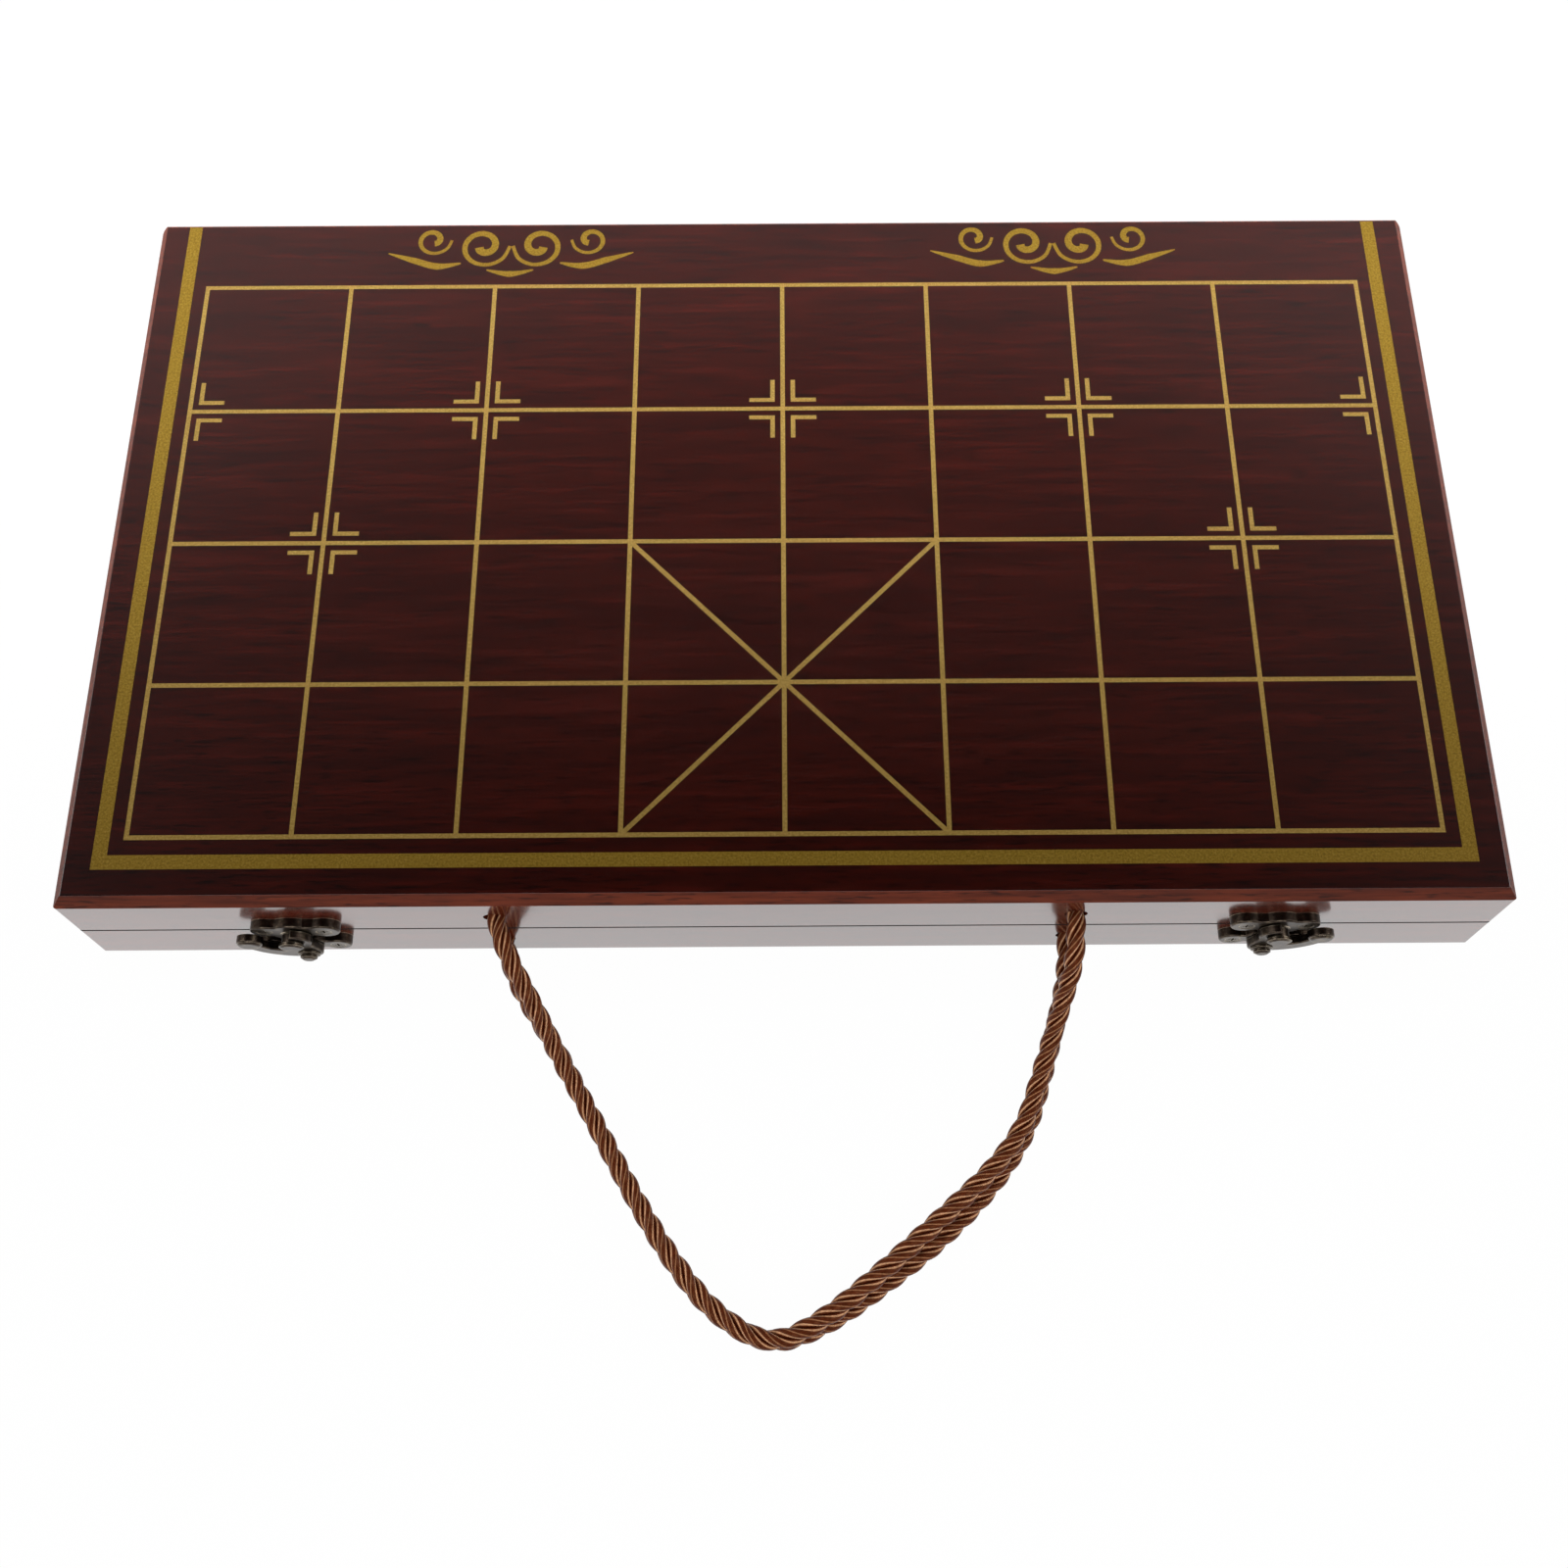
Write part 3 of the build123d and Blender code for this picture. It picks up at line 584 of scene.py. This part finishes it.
same = add(tree, "ShaderNodeVectorMath", {0: rounded, 1: true},
           operation="DOT_PRODUCT").outputs["Value"]
wear_and_highlight = add(tree, "ShaderNodeMapRange", {"Value": same, "From Min": 0.995,
                                        "From Max": 0.86}).outputs[0]
# Painted highlight, in part: the pale edge colour stands for worn plating and for the glint of the
# edges.
tone = add(tree, "ShaderNodeMix", {0: wear_and_highlight, 6: patina, 7: colour("#b3a68f")},
           data_type="RGBA").outputs[2]
finish(tree, shader, tone, speckle(tree, (1400, 1400, 1400), 3), 0.3, 0.00012)
dress([name for name in nodes if name.startswith("latch_")], bronze)


# ---------------------------------------------------------------------------
# Butt hinges: rolled brass leaves on steel-cored pins, let into the back rims
# and fixed with countersunk screws.
# ---------------------------------------------------------------------------
# Rolled brass, not lacquered: dull and yellow brown, with faint marks of the rolls that run
# 8 mm along the leaf and 1.1 mm across it.
brass, tree, shader = new_material("dull rolled brass", Metallic=1.0, Roughness=0.38)
tone = add(tree, "ShaderNodeValToRGB", {"Fac": speckle(tree, (120, 900, 900), 4, 0.6)},
           [(0.3, "#6b5836"), (0.55, "#937e54"), (0.75, "#b3a078")]).outputs[0]
finish(tree, shader, tone, speckle(tree, (90, 2600, 2600), 2), 0.1, 0.00004)
dress([name for name in nodes if "hinge" in name], brass)


# ---------------------------------------------------------------------------
# Inside: strips of flocked foam glued round the discs, and a sheet of felt
# glued under the lid.
# ---------------------------------------------------------------------------
# Flocked foam: a dead black that catches no highlight. The pile is drawn 1.1 mm coarse so
# that it shows.
foam, tree, shader = new_material("black flocked foam", Roughness=0.95, Sheen_Weight=0.08)
tone = add(tree, "ShaderNodeValToRGB", {"Fac": speckle(tree, (900, 900, 900), 3)},
           [(0.3, "#0e0d0d"), (0.7, "#242121")]).outputs[0]
finish(tree, shader, tone, speckle(tree, (2500, 2500, 2500), 2), 0.6, 0.0003)
dress(["foam_long_dividers", "foam_short_dividers"], foam)

# Pressed felt: an even wine red, cloudy where the fibres mat in tufts of 1.4 mm.
felt, tree, shader = new_material("wine red felt", Roughness=0.95, Sheen_Weight=0.1)
tone = add(tree, "ShaderNodeValToRGB", {"Fac": speckle(tree, (700, 700, 700), 4, 0.7)},
           [(0.3, "#470a0d"), (0.7, "#641518")]).outputs[0]
finish(tree, shader, tone, speckle(tree, (2600, 2600, 2600), 3), 0.7, 0.0003)
dress(["lid_lining"], felt)


# ---------------------------------------------------------------------------
# Playing discs: turned hardwood, lacquered, with a painted groove in the top.
# Sixteen have a red groove and sixteen a black one, and all are bare inside it.
# ---------------------------------------------------------------------------
DISC_RADIUS = 20.99
DISC_SEGMENTS = 48
# Inset from the edge and height of each turned corner, from the bottom to the top, in mm.
disc_profile = [(2.4, 0.0), (1.0, 0.35), (0.3, 1.1), (0.05, 2.4), (0.0, 5.2), (0.0, 10.8),
                (0.05, 13.2), (0.35, 14.7), (1.1, 15.6), (2.4, 16.0), (3.6, 16.0),
                (3.9, 15.55), (5.1, 15.55), (5.4, 16.0), (6.6, 16.0), (8.0, 15.8)]
GROOVE = (11, 12, 13)      # the painted rings of faces, by the corner each ends at


def turned_disc():
    """One disc standing at the origin, with its painted faces marked."""
    vertices = [(0, 0, 0)]
    for inset, height in disc_profile:
        radius = DISC_RADIUS - inset
        for step in range(DISC_SEGMENTS):
            angle = 2 * math.pi * step / DISC_SEGMENTS
            vertices.append((radius * math.cos(angle) * MM, radius * math.sin(angle) * MM,
                             height * MM))
    vertices.append((0, 0, disc_profile[-1][1] * MM))
    faces, painted = [], []
    top = len(vertices) - 1
    last = top - DISC_SEGMENTS
    for step in range(DISC_SEGMENTS):
        after = (step + 1) % DISC_SEGMENTS
        faces.append((0, 1 + after, 1 + step))
        painted.append(False)
        for ring in range(len(disc_profile) - 1):
            a, b = 1 + ring * DISC_SEGMENTS + step, 1 + ring * DISC_SEGMENTS + after
            faces.append((a, b, b + DISC_SEGMENTS, a + DISC_SEGMENTS))
            painted.append(ring + 1 in GROOVE)
        faces.append((last + step, last + after, top))
        painted.append(False)
    return vertices, faces, painted


def rows_of_discs(wood, paint):
    """Geometry nodes that set copies of a disc on a grid, with paint in the groove."""
    tree = bpy.data.node_groups.new("rows of discs", "GeometryNodeTree")
    sockets = tree.interface
    sockets.new_socket(name="Geometry", in_out="OUTPUT", socket_type="NodeSocketGeometry")
    sockets.new_socket(name="Disc", in_out="INPUT", socket_type="NodeSocketGeometry")
    names = {}
    for name, kind in (("Columns", "Int"), ("Rows", "Int"), ("Width", "Float"),
                       ("Depth", "Float"), ("Middle", "Vector")):
        socket = sockets.new_socket(name=name, in_out="INPUT", socket_type="NodeSocket" + kind)
        names[name] = socket.identifier
    given = add(tree, "NodeGroupInput").outputs
    grid = add(tree, "GeometryNodeMeshGrid",
               {"Size X": given["Width"], "Size Y": given["Depth"],
                "Vertices X": given["Columns"], "Vertices Y": given["Rows"]})
    moved = add(tree, "GeometryNodeTransform",
                {"Geometry": grid.outputs["Mesh"], "Translation": given["Middle"]})
    copies = add(tree, "GeometryNodeInstanceOnPoints",
                 {"Points": moved.outputs[0], "Instance": given["Disc"]})
    real = add(tree, "GeometryNodeRealizeInstances", {"Geometry": copies.outputs[0]})
    bare = add(tree, "GeometryNodeSetMaterial", {"Geometry": real.outputs[0], "Material": wood})
    mark = add(tree, "GeometryNodeInputNamedAttribute", {"Name": "painted"},
               data_type="BOOLEAN").outputs["Attribute"]
    done = add(tree, "GeometryNodeSetMaterial",
               {"Geometry": bare.outputs[0], "Material": paint, "Selection": mark})
    add(tree, "NodeGroupOutput", {"Geometry": done.outputs[0]})
    return tree, names


# Hardwood turned across the grain: honey coloured, with finer, darker lines through every
# disc, 25 mm long and about 2 mm apart.
disc_wood, tree, shader = new_material("turned hardwood, clear lacquer", Roughness=0.4,
                                       Coat_Weight=0.4)
tone = add(tree, "ShaderNodeValToRGB", {"Fac": speckle(tree, (40, 520, 420), 4)},
           [(0.3, "#9c6c3e"), (0.5, "#bb8c58"), (0.7, "#cba26e")]).outputs[0]
finish(tree, shader, tone, speckle(tree, (60, 1800, 1800), 2), 0.08, 0.00005)


# Enamel brushed into a groove: even and glossy, with a little unevenness 1.3 mm wide.
def groove_paint(name, dark, light):
    material, tree, shader = new_material(name, Roughness=0.3, Coat_Weight=0.3)
    tone = add(tree, "ShaderNodeValToRGB", {"Fac": speckle(tree, (800, 800, 800), 3)},
               [(0.3, dark), (0.7, light)]).outputs[0]
    finish(tree, shader, tone, speckle(tree, (1500, 1500, 1500), 2), 0.1, 0.00005)
    return material


def set_of_discs(name, cad_node, paint):
    """Sixteen discs in two rows, where the CAD discs stand."""
    vertices, faces, painted = turned_disc()
    piece = new_object(name, vertices, faces, disc_wood)
    marks = piece.data.attributes.new("painted", "BOOLEAN", "FACE")
    marks.data.foreach_set("value", painted)
    low, high = (Vector(corner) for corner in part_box(cad_node))
    tree, names = rows_of_discs(disc_wood, paint)
    rows = piece.modifiers.new("rows", "NODES")
    rows.node_group = tree
    across = 2 * DISC_RADIUS * MM
    middle = (low + high) / 2
    rows[names["Columns"]] = 8
    rows[names["Rows"]] = 2
    rows[names["Width"]] = high.x - low.x - across
    rows[names["Depth"]] = high.y - low.y - across
    rows[names["Middle"]] = (middle.x, middle.y, low.z)
    seen = piece.evaluated_get(bpy.context.evaluated_depsgraph_get())
    plain = bpy.data.meshes.new_from_object(seen)
    piece.modifiers.remove(rows)
    piece.data = plain
    plain.set_sharp_from_angle(angle=math.radians(35))
    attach(piece, "base")
    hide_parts(cad_node)


red_enamel = groove_paint("red enamel", "#7e1410", "#9c1d15")
black_enamel = groove_paint("black enamel", "#121110", "#201d1b")
set_of_discs("red_ringed_discs", "red_discs", red_enamel)
set_of_discs("black_ringed_discs", "black_discs", black_enamel)


# ---------------------------------------------------------------------------
# Studio: white paper on a table, three softboxes and a gridded one over the fold,
# and a ceiling that is darkest overhead, so that the lacquer mirrors pale walls
# only near the fold.
# ---------------------------------------------------------------------------
# Matt paper: plain white to the eye and in reflections, with a trace of the shadows.
PAPER_WHITE = 0.985
paper, tree, shader = new_material("white studio paper", Roughness=0.9,
                                   Base_Color=colour("#efefef"))
rays = add(tree, "ShaderNodeLightPath").outputs
seen = add(tree, "ShaderNodeMath", {0: rays["Is Camera Ray"], 1: rays["Is Glossy Ray"]},
           operation="MAXIMUM").outputs[0]
share = add(tree, "ShaderNodeMath", {0: seen, 1: PAPER_WHITE}, operation="MULTIPLY").outputs[0]
white = add(tree, "ShaderNodeEmission", {"Strength": 1.0}).outputs[0]
blend = add(tree, "ShaderNodeMixShader", {0: share, 1: shader.outputs[0], 2: white}).outputs[0]
tree.links.new(blend, tree.nodes["Material Output"].inputs["Surface"])
REACH, BELOW = 4, -0.0002
corners = [(-REACH, -REACH, BELOW), (REACH, -REACH, BELOW), (REACH, REACH, BELOW),
           (-REACH, REACH, BELOW)]
floor = new_object("floor", corners, [(0, 1, 2, 3)], paper)

# Each softbox: its place, its aim and its size in metres, its beam in degrees, and its watts.
# The gridded one lights the wood, but the lacquer doesn't mirror it.
for name, place, target, size, beam, power in (
        ("gridded softbox", (0.0, 0.15, 0.75), (0, 0.15, 0), (1.0, 0.12), 40, 1.8),
        ("front softbox", (0.0, -1.7, 1.7), (0, 0, 0), (2.2, 0.9), 180, 23),
        ("left softbox", (-1.8, 0.2, 1.2), (0, 0, 0), (1.0, 1.2), 180, 12),
        ("right softbox", (1.8, 0.2, 1.2), (0, 0, 0), (1.0, 1.2), 180, 12)):
    data = bpy.data.lights.new(name, "AREA")
    data.shape = "RECTANGLE"
    data.size, data.size_y = size
    data.energy = power
    data.spread = math.radians(beam)
    light = bpy.data.objects.new(name, data)
    bpy.context.scene.collection.objects.link(light)
    light.location = place
    light.visible_glossy = name != "gridded softbox"
    light.rotation_euler = (Vector(target) - Vector(place)).to_track_quat("-Z", "Y").to_euler()

world = bpy.data.worlds.new("studio walls")
bpy.context.scene.world = world
world.use_nodes = True
tree = world.node_tree
tree.nodes.clear()
direction = add(tree, "ShaderNodeTexCoord").outputs["Generated"]
towards = add(tree, "ShaderNodeSeparateXYZ", {0: direction}).outputs
sky = add(tree, "ShaderNodeValToRGB", {"Fac": towards["Z"]}, [
    (0.0, "#f4f4f4"), (0.68, "#c8c8c8"), (0.79, "#b0b0b0"), (0.86, "#525252"),
    (0.95, "#080808")]).outputs[0]
# The wall behind the viewer is in shade, as Y says.
depth = add(tree, "ShaderNodeMapRange", {"Value": towards["Y"], "From Min": -0.9, "From Max": 0.2,
                                         "To Min": 0.15, "To Max": 1.0}).outputs[0]
lit = add(tree, "ShaderNodeVectorMath", {0: sky, "Scale": depth}, operation="SCALE").outputs[0]
rays = add(tree, "ShaderNodeLightPath").outputs
shown = add(tree, "ShaderNodeMix", {0: rays["Is Camera Ray"], 6: lit, 7: colour("#ffffff")},
            data_type="RGBA").outputs[2]
walls = add(tree, "ShaderNodeBackground", {"Color": shown, "Strength": 1.0}).outputs[0]
add(tree, "ShaderNodeOutputWorld", {"Surface": walls})

bpy.context.scene.view_settings.view_transform = "Standard"
